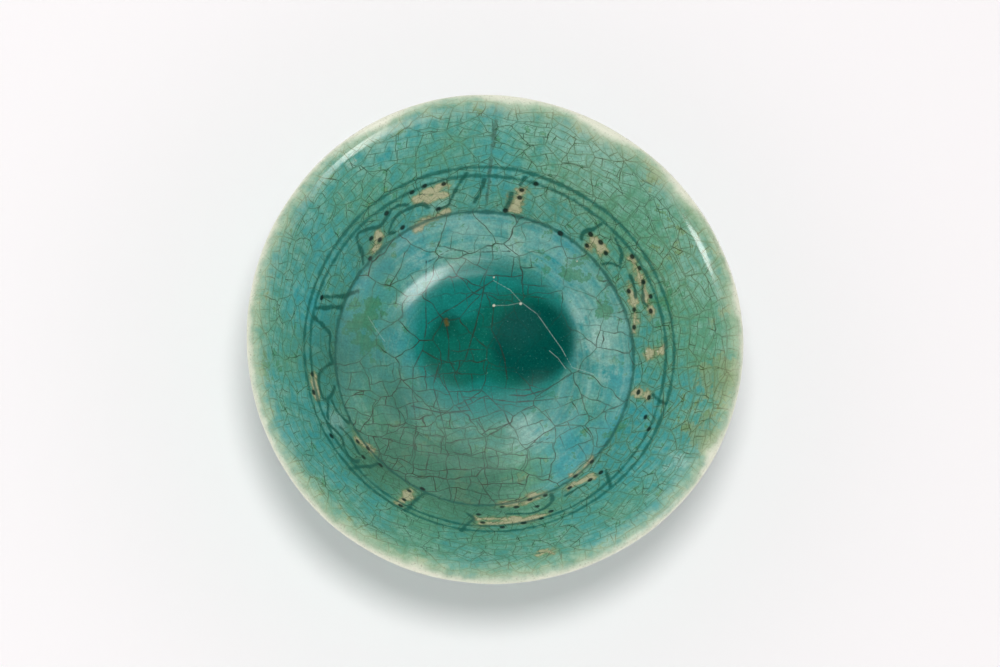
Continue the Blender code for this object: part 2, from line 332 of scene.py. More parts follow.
def bare_stonepaste(name, ring_spacing):
    """Bare fired stonepaste: sandy and matt, cream with rusty burial stains and fine tool rings."""
    material, tree, shader = new_material(name)
    place = add(tree, "ShaderNodeTexCoord").outputs["Object"]
    flat = add(tree, VECTOR_MATH, {0: place, 1: (1, 1, 0)}, operation="MULTIPLY")
    radius = add(tree, VECTOR_MATH, {0: flat}, operation="LENGTH").outputs["Value"]
    stain = add(tree, NOISE, {
        "Vector": place, "Scale": 1 / (STAIN_SIZE * MM), "Detail": 5, "Roughness": 0.62})
    grit = add(tree, NOISE, {"Vector": place, "Scale": 1 / (GRIT_SIZE * MM), "Detail": 2})
    rings = add(tree, MATH, {0: radius, 1: math.tau / (ring_spacing * MM)}, operation="MULTIPLY")
    wander = add(tree, MATH, {0: stain, 1: 5, 2: rings}, operation="MULTIPLY_ADD")
    groove = add(tree, MATH, {0: wander}, operation="SINE")
    rust = add(tree, RANGE, {"Value": stain, "From Min": 0.5, "From Max": 0.72, "To Max": 0.75})
    colour = add(tree, MIX, {"Factor": rust, "A": linear("#d9cdb2"), "B": linear("#a98a5f")},
                 data_type="RGBA")
    dirt = add(tree, RANGE, {"Value": groove, "From Min": 0.2, "From Max": -1, "To Max": 0.22})
    colour = add(tree, MIX, {"Factor": dirt, "A": colour, "B": linear("#7d6a4c")}, data_type="RGBA")
    speck = add(tree, RANGE, {"Value": grit, "From Min": 0.62, "From Max": 0.74, "To Max": 0.5})
    colour = add(tree, MIX, {"Factor": speck, "A": colour, "B": linear("#8b7a5d")}, data_type="RGBA")
    height = add(tree, MATH, {0: groove, 1: 0.5, 2: grit}, operation="MULTIPLY_ADD")
    bump = add(tree, "ShaderNodeBump", {"Height": height, "Strength": 0.7, "Distance": 0.12 * MM})
    tree.links.new(colour.outputs[2], shader.inputs["Base Color"])
    tree.links.new(bump.outputs["Normal"], shader.inputs["Normal"])
    shader.inputs["Roughness"].default_value = 0.85
    return material


body_outline = rounded([
    (0, BODY_FLOOR, 0),
    (19, BODY_FLOOR, 8),
    (33.5, BODY_FLOOR + 7.2, 6),
    (48, BODY_FLOOR + 9.1, 8),
    lip_corner(LIP_ROUND, LIP_ROUND, LIP_ROUND),
    lip_corner(-LIP_ROUND, LIP_ROUND, LIP_ROUND),
    (51.7, 17.45, 14),
    (32, foot_top + BOND, 2),
    (0, foot_top + BOND, 0),
])
body_profile = profile_mesh(
    "body_profile", body_outline, even_stations((0, body_outline[1][-1], BODY_ROWS)))
body = shaped(
    "stonepaste_body_turned", body_profile,
    (turning, {"Columns": BODY_COLUMNS}),
    (firing, {**KILN, "LumpDepth": 0.12 * MM, "LumpSize": 20 * MM,
              "RingDepth": 0.05 * MM, "RingSpacing": 3.1}),
    (parting, {"Piece": 0, "Material": bare_stonepaste("bare_stonepaste", 1.3)}))
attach(body, "root")
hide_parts("stonepaste_body")


# Foot ring
# A low ring of the same paste, luted to the underside and trued on the wheel.
# It is bare, with its standing edge worn round and grey.

FOOT_COLUMNS = 240
FOOT_ROWS = 0.45
FOOT_HOLLOW = 24.5
FOOT_STAND = 29.5
FOOT_EDGE = 1.0
foot_radius = foot_high.x / MM
foot_join = foot_top + BOND + 0.1
foot_middle = (foot_radius + FOOT_HOLLOW) / 2
foot_outline = rounded([
    (foot_middle, foot_join, 0),
    (foot_radius, foot_join, 0.2),
    (FOOT_STAND, 0, FOOT_EDGE),
    (FOOT_HOLLOW + 0.6, 0, FOOT_EDGE),
    (FOOT_HOLLOW, foot_join, 0.2),
    (foot_middle, foot_join, 0),
])
foot_profile = profile_mesh(
    "foot_profile", foot_outline, even_stations((0, foot_outline[1][-1], FOOT_ROWS)))
foot = shaped(
    "foot_ring_turned", foot_profile,
    (turning, {"Columns": FOOT_COLUMNS}),
    (firing, {**KILN, "LumpDepth": 0.25 * MM, "LumpSize": 9 * MM,
              "RingDepth": 0.04 * MM, "RingSpacing": 2.2}),
    (parting, {"Piece": 0, "Material": bare_stonepaste("worn_foot_stonepaste", 0.9)}))
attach(foot, "root")
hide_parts("foot_ring")


# Painted decoration
# Rings, strokes and dots of dark pigment, brushed on the raw glaze before the firing. They have no
# thickness, so they are guide lines that the glaze measures from, as its cracks and bare patches are.

WELL_FLOOR = 16.0
SHELF_EDGE = 47.2
POOL_EDGE = 28.0
glaze_outline = rounded([
    (0, WELL_FLOOR, 0),
    (11.5, WELL_FLOOR, 66),
    (POOL_EDGE + 0.7, WELL_FLOOR + 3.2, 20),
    (36.2, 23.5, 13),
    (SHELF_EDGE, 24.25, 6),
    lip_corner(LIP_ROUND + COAT, -1.8, 12),
    lip_corner(LIP_ROUND + 0.25, LIP_ROUND + LIP_COAT, LIP_ROUND + LIP_COAT),
    lip_corner(-LIP_ROUND - LIP_COAT, LIP_ROUND + LIP_COAT, LIP_ROUND + LIP_COAT),
    lip_corner(-LIP_ROUND - COAT, -3.5, 20),
    (52.3, 16.1, 15.5),
    (45.7, 13.35, 4),
    (43.6, 11.65, 1.6),
    (42.1, 11.75, 0.6),
    (41.7, 13.65, 0),
])
glaze_line, glaze_along = glaze_outline
lip_crest = glaze_along[np.argmax(glaze_line[:, 1])]
inside = glaze_along < lip_crest


def along_at_radius(radius):
    """How far along the glaze, from the middle of the well, the inside reaches this radius."""
    return float(np.interp(radius, glaze_line[inside, 0], glaze_along[inside]))


def along_at_height(height):
    """How far along the glaze the inside rises to this height."""
    return float(np.interp(height, glaze_line[inside, 1], glaze_along[inside]))


RINGS = ("lower_painted_ring", "middle_painted_ring", "upper_painted_ring")
ring_along = {}
for node in RINGS:
    ring_low, ring_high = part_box(node)
    ring_along[node] = along_at_height((ring_low.z + ring_high.z) / 2 / MM)
band_top = ring_along["middle_painted_ring"]
band_foot = ring_along["lower_painted_ring"]


def on_glaze(angle, along):
    """The point of the turned glaze at this angle and this far along it."""
    radius = np.interp(along, glaze_along, glaze_line[:, 0])
    height = np.interp(along, glaze_along, glaze_line[:, 1])
    turn = math.radians(angle)
    return radius * MM * math.cos(turn), radius * MM * math.sin(turn), height * MM


def in_band(angle, share):
    """A point of the painted band: share 0 lies on the middle ring and 1 on the lower ring."""
    return on_glaze(angle, band_top + share * (band_foot - band_top))


def in_bowl(angle, radius):
    """A point inside the bowl at this radius."""
    return on_glaze(angle, along_at_radius(radius))


def smooth(points, steps=6):
    """A curve through the points, in this many steps from each one to the next."""
    points = np.array([points[0], *points, points[-1]], float)
    curve = []
    for a, b, c, d in zip(points, points[1:], points[2:], points[3:]):
        for t in np.arange(steps) / steps:
            curve.append(b + t / 2 * (c - a + t * (2 * a - 5 * b + 4 * c - d + t * (3 * (b - c) + d - a))))
    return [*curve, points[-1]]


def guide(name, paths):
    """A mesh of loose lines for the glaze to measure from. A path of one point is a loose point."""
    points = []
    edges = []
    for path in paths:
        first = len(points)
        points += [tuple(p) for p in path]
        edges += [(i, i + 1) for i in range(first, len(points) - 1)]
    mesh = bpy.data.meshes.new(name)
    mesh.from_pydata(points, edges, [])
    made = bpy.data.objects.new(name, mesh)
    bpy.context.scene.collection.objects.link(made)
    return made


def banding_ring(along, wobble, turns):
    """A ring drawn on the turning bowl, which strays a little as the brush is reloaded."""
    ring = []
    for angle in range(0, 361, 2):
        slow = math.sin(math.radians(turns * angle))
        quick = math.sin(math.radians((2 * turns + 1) * angle + 70))
        ring.append(on_glaze(angle, along + wobble * (slow + 0.6 * quick)))
    return ring


ring_guide = guide("ring_guide", [
    banding_ring(ring_along["lower_painted_ring"], 0.25, 3),
    banding_ring(ring_along["middle_painted_ring"], 0.2, 5),
    banding_ring(ring_along["upper_painted_ring"], 0.22, 4),
])

STROKES = [  # (angle, share of the band) along each brush stroke
    [(41, .13), (36, .27), (34, .46)],
    [(33, .52), (36, .66), (38, .88)],
    [(16, .30), (18, .38), (22, .27), (24, .18)],
    [(21, .55), (25, .44), (28, .41)],
    [(48, .10), (49, .35), (51, .60), (50, .80)],
    [(77, -.10), (78, .13)],
    [(80, .41), (80, .63), (81, .91)],
    [(90, .10), (91, .44), (93, .74)],
    [(96, -.10), (98, .13), (101, .52), (103, .74), (106, .77)],
    [(110, .63), (112, .49), (117, .44), (122, .46), (125, .60), (127, .74), (125, .86)],
    [(117, .32), (120, .21), (123, .21), (125, .30), (129, .41), (133, .24), (137, .10)],
    [(138, .16), (139, .32), (140, .66), (142, .88)],
    [(162, .13), (159, .55), (157, .83), (155, 1.0), (151, 1.22)],
    [(166, .04), (164, .41), (162, .72), (161, .94)],
    [(169, .07), (170, .27), (171, .55), (172, .74), (174, .77), (179, .80), (182, .88), (183, .83),
     (185, .55), (188, .27), (192, .21), (196, .24), (196, .49), (194, .69), (192, .83)],
    [(196, .44), (200, .27), (203, .13)],
    [(197, .55), (201, .63), (204, .74), (206, .91), (204, 1.03)],
    [(204, .04), (206, .10), (208, .21), (211, .27), (214, .13), (217, .07), (220, .13), (220, .32)],
    [(207, .46), (210, .58), (213, .60), (218, .49)],
    [(221, -.29), (222, .10), (224, .52), (225, .86)],
    [(242, -.29), (243, .18), (244, .60), (245, .86)],
    [(260, -.32), (262, .04), (264, .32), (262, .52)],
    [(276, .52), (280, .44), (285, .35), (290, .44), (293, .63), (294, .88)],
    [(298, .52), (302, .55), (306, .49)],
    [(310, -.20), (312, .10), (314, .38)],
    [(342, -.24), (343, 0), (345, .27)],
]
stroke_guide = guide("stroke_guide", [[in_band(*p) for p in smooth(stroke)] for stroke in STROKES])

DOTS = [  # (angle, share of the band)
    (11, .86), (17, .72), (24, .66), (14, .27), (18.5, .13), (24, .16), (28.5, .07), (33, .07), (40, .60),
    (44, .49), (48.5, .52), (47, .83), (73, 0), (77, .27), (77, .49), (58, 1.0), (81, .93), (103.5, .10),
    (110, 0), (114.5, .04), (125, .21), (121.5, .86), (106.5, .77), (131.5, .74), (134, .52), (138.5, .94),
    (162, .13), (188, 0), (194, -.10), (209, -.08), (214, .80), (220, .55), (218, .98), (226, .87),
    (240, -.13), (240, .20), (240, .70), (244, 1.08), (267, .16), (266, .54), (273, -.07), (280, 0),
    (286, 0), (290, .17), (275, .87), (280, .77), (287, .58), (286, .97), (292, .92), (301, .74),
    (308, .52), (312.5, .46), (306, 1.0), (314.5, 1.0), (337, .27), (344, .36), (346, .74), (333, 0),
]
dot_guide = guide("dot_guide", [[in_band(*dot)] for dot in DOTS])

BUFF_PATCHES = [  # (angle, share of the band) down the middle of each patch where the glaze stayed thin
    [(11, .85), (17, .70), (24, .62)],
    [(14, .30), (20, .25), (32, .12)],
    [(41, .65), (46, .58), (46, .85)],
    [(77, .30), (78, .85)],
    [(103, .14), (108, .20), (113, .28)],
    [(104, .42), (109, .42)],
    [(104, .90), (109, .98), (116, 1.02)],
    [(131, .62), (136, .85)],
    [(189, .03), (194, .0)],
    [(214, .88), (219, 1.0)],
    [(239, -.05), (241, .75)],
    [(265, .05), (268, .15), (276, .11), (287, .13)],
    [(266, .32), (271, .34), (278, .25)],
    [(275, .92), (284, 1.0), (292, 1.0)],
    [(301, .82), (309, .58)],
    [(307, 1.02), (314, 1.03)],
    [(344, .40), (346, .85)],
    [(360, .15), (360, .65)],
]
BUFF_ON_WALL = [(281, 72), (283, 72)]  # (angle, radius) along one more, higher up
buff_guide = guide("buff_guide", [
    *([in_band(*p) for p in smooth(patch)] for patch in BUFF_PATCHES),
    [in_bowl(*p) for p in BUFF_ON_WALL],
])

CRACKS = [  # (angle, radius) along the long cracks in the well, stained brown
    [(77, 20), (72, 12), (44, 9), (12, 8), (329, 10)],
    [(81, 28), (94, 24), (112, 21), (124, 21), (143, 22)],
    [(119, 38), (128, 30), (146, 22), (166, 20), (185, 23), (206, 26), (228, 33)],
    [(87, 26), (90, 19.5), (98, 12.5), (163, 5.5), (203, 10), (240, 13), (260, 18), (272, 24.5)],
    [(132, 17), (145, 13), (172, 11), (205, 9)],
    [(240, 13), (280, 12), (309, 17), (326, 23), (338, 32)],
    [(168, 20), (174, 15), (181, 9)],
    [(310, 14), (322, 18), (336, 23), (352, 30)],
    [(118, 37.5), (106, 38.5), (90, 36.5), (75, 38)],
    [(228, 33), (246, 33), (267, 33), (290, 33), (310, 34)],
    [(212, 28), (230, 22), (255, 16.5)],
    [(179, 14), (205, 18), (230, 22), (245, 29)],
]
SPLITS = [  # the same, along the cracks that have opened and catch the light
    [(81, 28), (68, 26.5), (56, 24.5), (41, 25), (26, 25), (10, 27), (356, 30), (352, 37)],
    [(77, 20), (65, 21.5), (56, 24.5)],
    [(10, 23), (3, 25.5), (355, 28)],
    [(159, 41), (164, 37), (169, 33)],
]


def straight_between(points, steps=12):
    """The points with more put between each two, on a straight line across the well."""
    flat = [np.array(in_bowl(*p)) for p in points]
    dense = []
    for a, b in zip(flat, flat[1:]):
        for t in np.linspace(0, 1, steps, endpoint=False):
            x, y, _ = a + t * (b - a)
            dense.append(in_bowl(math.degrees(math.atan2(y, x)), math.hypot(x, y) / MM))
    return [*dense, tuple(flat[-1])]


crack_guide = guide("crack_guide", [straight_between(crack) for crack in CRACKS])
split_guide = guide("split_guide", [straight_between(split) for split in SPLITS])

CHIPS = [(81, 29), (56, 24), (77, 20), (46, 46), (1, 53), (0, 56), (127, 72.8)]  # (angle, radius)
SCAR = [(129, 18.5), (130, 17.5)]  # the same, along a brown scar in the pool
chip_guide = guide("chip_guide", [[in_bowl(*chip)] for chip in CHIPS])
scar_guide = guide("scar_guide", [[in_bowl(*p) for p in SCAR]])


# Glaze coat
# Alkaline glaze coloured with copper, dipped over the whole bowl and fired to glass. It thinned to
# cream over the lip, ran down into a pool in the well, and outside it stopped in a roll with runs.

GLAZE_COLUMNS = 720
RING_STRIP = 1.0
LIP_REACH = 5.4
RUN_START = 8.5
STOP_LENGTH = 6.0
band_above = ring_along["upper_painted_ring"]
glaze_end = glaze_along[-1]

GLAZE_LAYERS = [  # piece, where its stretch ends along the outline, spacing of its rows
    ("glaze_pool", along_at_radius(POOL_EDGE), 0.3),
    ("glaze_inside", band_foot - RING_STRIP, 0.5),
    ("ring_lower", band_foot + RING_STRIP, 0.4),
    ("glaze_inside", band_top - RING_STRIP, 0.42),
    ("ring_middle", band_top + RING_STRIP, 0.4),
    ("glaze_inside", band_above - RING_STRIP, 0.42),
    ("ring_upper", band_above + RING_STRIP, 0.4),
    ("glaze_inside", lip_crest - LIP_REACH, 0.75),
    ("glaze_lip", lip_crest + LIP_REACH, 0.4),
    ("glaze_outside", glaze_end, 0.75),
]
GLAZE_PIECES = {  # piece: its slot and the node that it stands for
    "glaze_pool": ("pool_glaze", "well_glaze_pool"),
    "glaze_inside": ("turquoise_glaze", "inner_glaze"),
    "ring_lower": ("painted_line", "lower_painted_ring"),
    "ring_middle": ("painted_line", "middle_painted_ring"),
    "ring_upper": ("painted_line", "upper_painted_ring"),
    "glaze_lip": ("pale_lip_glaze", "lip_glaze"),
    "glaze_outside": ("turquoise_glaze", "outer_glaze"),
}
GUIDES = {  # what the glaze measures from, and which element of it counts
    "Ring": (ring_guide, "EDGES"),
    "Stroke": (stroke_guide, "EDGES"),
    "Dot": (dot_guide, "POINTS"),
    "Buff": (buff_guide, "EDGES"),
    "Crack": (crack_guide, "EDGES"),
    "Split": (split_guide, "EDGES"),
    "Chip": (chip_guide, "POINTS"),
    "Scar": (scar_guide, "EDGES"),
}


def painting_stage():
    """Measures how far each point of the raw glaze lies from each guide, in millimetres."""
    tree, given = stage_tree("painted_by_brush", **{label: "Object" for label in GUIDES})
    surface = given["Geometry"]
    for label, (_, element) in GUIDES.items():
        lines = add(tree, "GeometryNodeObjectInfo", {"Object": given[label]})
        near = add(tree, "GeometryNodeProximity", {"Geometry": lines.outputs["Geometry"]},
                   target_element=element)
        gap = add(tree, MATH, {0: near.outputs["Distance"], 1: 1 / MM}, operation="MULTIPLY")
        surface = add(tree, STORE, {"Geometry": surface, "Name": label.lower(), "Value": gap},
                      data_type="FLOAT")
    add(tree, "NodeGroupOutput", {"Geometry": surface})
    return tree


RUNS = [(28, 5.5), (97, 3.0), (163, 6.5), (236, 3.5), (310, 5.0)]  # angle, length of the run


def running_stage():
    """Lets the coat outside run on past its stop line in thick tears, each with a bead at its end."""
    tree, given = stage_tree("run_in_the_kiln", Runs="Object", Turn="Float", StopLength="Float",
                             RunWidth="Float", Stray="Float", Bead="Float")
    position = add(tree, "GeometryNodeInputPosition")
    flat = add(tree, VECTOR_MATH, {0: position, 1: (1, 1, 0)}, operation="MULTIPLY")
    outwards = add(tree, VECTOR_MATH, {0: flat}, operation="NORMALIZE")
    runs = add(tree, "GeometryNodeObjectInfo", {"Object": given["Runs"]}).outputs["Geometry"]
    near = add(tree, "GeometryNodeProximity", {"Geometry": runs, "Sample Position": outwards},
               target_element="POINTS")
    nearest = add(tree, "GeometryNodeSampleNearest", {"Geometry": runs, "Sample Position": outwards})
    length = add(tree, NAMED, {"Name": "length"}, data_type="FLOAT")
    length = add(tree, SAMPLE, {"Geometry": runs, "Value": length, "Index": nearest}, data_type="FLOAT")
    fall = add(tree, MATH, {0: near.outputs["Distance"], 1: given["RunWidth"]}, operation="DIVIDE")
    fall = add(tree, MATH, {0: fall, 1: 2}, operation="POWER")
    fall = add(tree, MATH, {0: fall, 1: -1}, operation="MULTIPLY")
    fall = add(tree, MATH, {0: fall}, operation="EXPONENT")
    stray = add(tree, NOISE, {"Vector": outwards, "Scale": 3, "Detail": 2})
    stray = add(tree, MATH, {0: stray, 1: 0.5}, operation="SUBTRACT")
    stray = add(tree, MATH, {0: stray, 1: given["Stray"]}, operation="MULTIPLY")
    further = add(tree, MATH, {0: fall, 1: length, 2: stray}, operation="MULTIPLY_ADD")
    along = add(tree, NAMED, {"Name": "along"}, data_type="FLOAT")
    past = add(tree, MATH, {0: along, 1: given["Turn"]}, operation="SUBTRACT")
    share = add(tree, MATH, {0: past, 1: given["StopLength"]}, operation="DIVIDE", use_clamp=True)
    further = add(tree, MATH, {0: further, 1: share}, operation="MULTIPLY")
    inwards = (-math.cos(UNDER_SLOPE),) * 3
    sinking = (0, 0, -math.sin(UNDER_SLOPE))
    down = add(tree, VECTOR_MATH, {0: outwards, 1: inwards, 2: sinking}, operation="MULTIPLY_ADD")
    move = add(tree, VECTOR_MATH, {0: down, "Scale": further}, operation="SCALE")
    bead = add(tree, MATH, {0: fall, 1: given["Bead"]}, operation="MULTIPLY")
    bead = add(tree, MATH, {0: bead, 1: share}, operation="MULTIPLY")
    swell = add(tree, VECTOR_MATH, {0: add(tree, "GeometryNodeInputNormal"), "Scale": bead},
                operation="SCALE")
    offset = add(tree, VECTOR_MATH, {0: move, 1: swell}, operation="ADD")
    surface = add(tree, PLACE, {"Geometry": given["Geometry"], "Offset": offset})
    add(tree, "NodeGroupOutput", {"Geometry": surface})
    return tree


run_guide = guide("run_guide", [
    [(math.cos(math.radians(angle)), math.sin(math.radians(angle)), 0)] for angle, _ in RUNS])
run_lengths = run_guide.data.attributes.new("length", "FLOAT", "POINT")
run_lengths.data.foreach_set("value", [length * MM for _, length in RUNS])

layer_starts = [0, *(end for _, end, _ in GLAZE_LAYERS)]
glaze_stations = even_stations(*(
    (start, end, spacing) for start, (_, end, spacing) in zip(layer_starts, GLAZE_LAYERS)))
piece_numbers = {name: number for number, name in enumerate(GLAZE_PIECES)}
glaze_profile = profile_mesh("glaze_profile", glaze_outline, glaze_stations, [
    (piece_numbers[name], end) for name, end, _ in GLAZE_LAYERS])
coat = shaped(
    "whole_glaze_coat", glaze_profile,
    (turning, {"Columns": GLAZE_COLUMNS}),
    (painting_stage(), {label: lines for label, (lines, _) in GUIDES.items()}),
    (running_stage(), {"Runs": run_guide, "Turn": glaze_end - RUN_START, "StopLength": STOP_LENGTH,
                       "RunWidth": math.radians(7), "Stray": 2.4 * MM, "Bead": 0.5 * MM}),
    (firing, {**KILN, "LumpDepth": 0.5 * MM, "LumpSize": 22 * MM,
              "RingDepth": 0, "RingSpacing": 1}))


LIP_TURN = 4.0


def stain(mesh, name, spots, edge):
    """Sums soft spots inside the bowl and over its lip into an attribute.

    A higher edge leaves a spot more even and its edge sharper.
    """
    count = len(mesh.vertices)
    places = np.empty(count * 3, np.float32)
    mesh.vertices.foreach_get("co", places)
    x, y, _ = places.reshape(-1, 3).T / MM
    along = np.empty(count, np.float32)
    mesh.attributes["along"].data.foreach_get("value", along)
    total = np.zeros(count, np.float32)
    for angle, radius, reach, amount in spots:
        turn = math.radians(angle)
        away = np.hypot(x - radius * math.cos(turn), y - radius * math.sin(turn))
        total += amount * np.exp(-((away / reach) ** edge))
    total[along > lip_crest + LIP_TURN] = 0
    mesh.attributes.new(name, "FLOAT", "POINT").data.foreach_set("value", total)


# Where the glaze is greener (or bluer, below nothing), rubbed dull (or glossy, below nothing), darker,
# pale, mossy, hazy, worn off the lip, tarnished or crackled, and where the pool is deep and dark. Some of
# the pale and hazy spots are painted sheen, not the glaze's own colour.
STAINS = {  # spots of (angle, radius, reach, amount)
    "green": [
        (235, 46, 12, .45), (262, 46, 14, .5), (285, 50, 10, .3), (270, 39, 11, .4), (292, 40, 8, .5),
        (222, 42, 9, .4), (205, 44, 8, .25), (35, 66, 17, .6), (5, 72, 15, .5), (62, 70, 15, .45),
        (245, 70, 18, .3), (312, 44, 12, -.5), (160, 62, 16, -.3), (192, 60, 14, -.15), (88, 60, 12, -.25),
        (78, 73, 9, .5), (245, 30, 12, .3), (325, 64, 12, -.3), (120, 42, 12, -.2), (340, 55, 8, -.3),
    ],
    "rubbed": [(25, 76, 16, -1), (128, 77, 15, -.9), (300, 37, 9, .8), (30, 14, 17, -.3)],
    "thick": [
        (135, 50, 10, .5), (180, 46, 14, .9), (225, 48, 14, .9), (262, 48, 14, .7), (205, 60, 12, .3),
        (248, 38, 9, .9), (270, 39, 9, .7), (225, 38, 7, .4), (205, 35, 7, .35), (205, 26, 9, .65),
        (230, 17, 8, .4), (286, 14, 7, .3), (356, 33, 5, .35), (250, 25, 9, .4), (285, 24, 8, .35),
        (330, 25, 7, .35), (240, 74, 5, .25), (212, 74, 5, .25), (268, 74, 5, .25), (185, 74, 4, .2),
        (152, 66, 8, .15),
    ],
    # Some of these are painted sheen: the spot low on the right of the well (300, 26) and the spots on the
    # upper lip.
    "pale": [
        (7, 40, 7, .5), (345, 40, 7, .2), (30, 38, 6, .5), (15, 38, 5, .3), (45, 42, 6, .3),
        (76, 38, 7, .3), (16, 45, 6, .3), (60, 70, 16, .3), (20, 72, 14, .25), (72, 74, 12, .15),
        (125, 38, 7, .3), (95, 41, 8, .4), (62, 42, 7, .25), (110, 38, 4, .3), (300, 26, 6, .85),
        (205, 55, 5, .4), (106, 54, 5, .3), (325, 72, 8, .2), (40, 77, 6, .35), (62, 77, 7, .3),
        (84, 77, 6, .3), (120, 77, 6, .4),
    ],
    "moss": [
        (163, 43, 6.5, 1), (152, 40, 4, 1), (174, 38, 4, .9), (44, 42, 6, .8), (22, 45, 4, .9),
        (60, 40, 4, .5), (330, 50, 4, .7), (15, 60, 4, .7), (187, 73, 5, .6),
    ],
    # Some of these are painted sheen: the spot on the upper lip (128, 77) and the one low on the right of
    # the well (300, 34).
    "haze": [
        (8, 38, 5, 1), (352, 42, 5, .8), (25, 36, 4, .9), (120, 42, 6, .6), (75, 41, 6, .6),
        (205, 55, 4, .9), (325, 71, 6, .7), (128, 77, 8, .7), (300, 34, 6, .5),
    ],
    "worn": [
        (62, 78, 11, 1), (85, 78, 8, .7), (38, 78, 8, .7), (118, 78, 8, .8), (250, 79, 8, .3),
        (330, 78, 5, .5), (8, 78, 6, .4),
    ],
    "tarnish": [
        (350, 77, 7, .7), (332, 78, 5, .7), (18, 78, 6, .5), (45, 77, 8, .7), (66, 78, 7, .6),
        (205, 77, 4, .5), (228, 78, 5, .5), (252, 78, 5, .4), (312, 78, 5, .6), (170, 76, 5, .4),
        (230, 43, 6, .5), (262, 47, 6, .5), (28, 70, 9, .4), (350, 72, 8, .8), (335, 73, 7, .8),
        (6, 73, 6, .6), (218, 35, 6, .4), (240, 36, 6, .5), (262, 39, 8, .5), (285, 40, 7, .45),
    ],
    "crackled": [
        (250, 18, 15, .45), (225, 40, 12, .4), (20, 68, 18, .35), (60, 70, 16, .3), (320, 42, 12, .3),
        (335, 68, 16, .25), (350, 71, 12, .3),
    ],
    "deep": [(70, 8, 27.5, .5), (156, 9.5, 12, .5), (32, 15, 17, .5)],
    "dark": [(22, 18.5, 14.5, 1)],
}
SOFT_EDGE = 2
SHARP_EDGES = {"deep": 8, "dark": 6}
for name, spots in STAINS.items():
    stain(coat.data, name, spots, SHARP_EDGES.get(name, SOFT_EDGE))

TURQUOISE_BLUE = linear("#46aaad")
TURQUOISE_GREEN = linear("#64a787")
TURQUOISE_DARKER = linear("#3c7a62")
PALE_TURQUOISE_AND_SHEEN = linear("#aad8cd")
POOL_TEAL = linear("#188d83")
POOL_GREEN = linear("#0b7464")
POOL_DARK = linear("#005950")
CLOUD_SIZE = 20
MOTTLE_SIZE = 4.5
GRAIN_SIZE = 0.7
RIM_REACH = 24

# Turquoise alkaline glaze, dipped and fired: clear glass over copper colour, blue where it is whole and
# green where it is crazed and stained, with a high gloss that burial has dulled in clouds
glaze, tree, shader = new_material("turquoise_alkaline_glaze")
place = add(tree, "ShaderNodeTexCoord").outputs["Object"]
read = {
    name: add(tree, "ShaderNodeAttribute", attribute_name=name).outputs["Fac"]
    for name in ("along", *(label.lower() for label in GUIDES), *STAINS)}
cloud = add(tree, NOISE, {"Vector": place, "Scale": 1 / (CLOUD_SIZE * MM), "Detail": 2})
mottle = add(tree, NOISE, {
    "Vector": place, "Scale": 1 / (MOTTLE_SIZE * MM), "Detail": 5, "Roughness": 0.65})
grain = add(tree, NOISE, {
    "Vector": place, "Scale": 1 / (GRAIN_SIZE * MM), "Detail": 3, "Roughness": 0.7})
ragged = add(tree, MATH, {0: mottle, 1: 0.5}, operation="SUBTRACT")
from_lip = add(tree, MATH, {0: read["along"], 1: lip_crest}, operation="SUBTRACT")
lip_gap = add(tree, MATH, {0: from_lip}, operation="ABSOLUTE")
at_rim = add(tree, RANGE, {"Value": lip_gap, "From Min": RIM_REACH, "From Max": 2},
             interpolation_type="SMOOTHSTEP")
on_wall = add(tree, MATH, {0: read["along"], 1: band_foot}, operation="GREATER_THAN")

# The wall unrolled flat and the well seen from above, so that crazing squares up to each of them.
# The unrolled wall starts and ends at the long crack at the back of the bowl.
LONG_CRACK = 88.5
UNROLLED_RADIUS = 62
STREAK_WIDTH = 2.2
STREAK_LENGTH = 18
WELL_SPREAD = 0.7
SEAM_EDGE = math.pi - 0.012
SEAM_CORE = math.pi - 0.003
facing = add(tree, "ShaderNodeVectorRotate", {"Vector": place, "Angle": math.radians(180 - LONG_CRACK)},
             rotation_type="Z_AXIS")
facing = add(tree, "ShaderNodeSeparateXYZ", {"Vector": facing})
angle = add(tree, MATH, {0: facing.outputs["Y"], 1: facing.outputs["X"]}, operation="ARCTAN2")
round_wall = add(tree, MATH, {0: angle, 1: UNROLLED_RADIUS * MM}, operation="MULTIPLY")
down_wall = add(tree, MATH, {0: read["along"], 1: MM}, operation="MULTIPLY")
unrolled = add(tree, "ShaderNodeCombineXYZ", {"X": round_wall, "Y": down_wall})
from_above = add(tree, VECTOR_MATH, {0: place, "Scale": WELL_SPREAD}, operation="SCALE")
spread = add(tree, MIX, {"Factor": on_wall, "A": from_above, "B": unrolled}, data_type="VECTOR")
streak_scale = (1 / (STREAK_WIDTH * MM), 1 / (STREAK_LENGTH * MM), 1)
streak = add(tree, VECTOR_MATH, {0: unrolled, 1: streak_scale}, operation="MULTIPLY")
streak = add(tree, NOISE, {"Vector": streak, "Scale": 1, "Detail": 2}, noise_dimensions="2D")
streak = add(tree, MATH, {0: streak, 1: 0.5}, operation="SUBTRACT")
streak = add(tree, MATH, {0: streak, 1: on_wall}, operation="MULTIPLY")

# Rings of thinner and thicker glaze round the well
ARC_WIDTH = 1.5
ARCS_ROUND = 2.2
around = add(tree, VECTOR_MATH, {0: place, 1: (1, 1, 0)}, operation="MULTIPLY")
around = add(tree, VECTOR_MATH, {0: around}, operation="NORMALIZE")
outward = add(tree, MATH, {0: read["along"], 1: ARC_WIDTH}, operation="DIVIDE")
outward = add(tree, "ShaderNodeCombineXYZ", {"Z": outward})
arcs = add(tree, VECTOR_MATH, {0: around, 1: (ARCS_ROUND,) * 3, 2: outward}, operation="MULTIPLY_ADD")
arcs = add(tree, NOISE, {"Vector": arcs, "Scale": 1, "Detail": 2})
arcs = add(tree, MATH, {0: arcs, 1: 0.5}, operation="SUBTRACT")
in_the_well = add(tree, MATH, {0: 1, 1: on_wall}, operation="SUBTRACT")
arcs = add(tree, MATH, {0: arcs, 1: in_the_well}, operation="MULTIPLY")

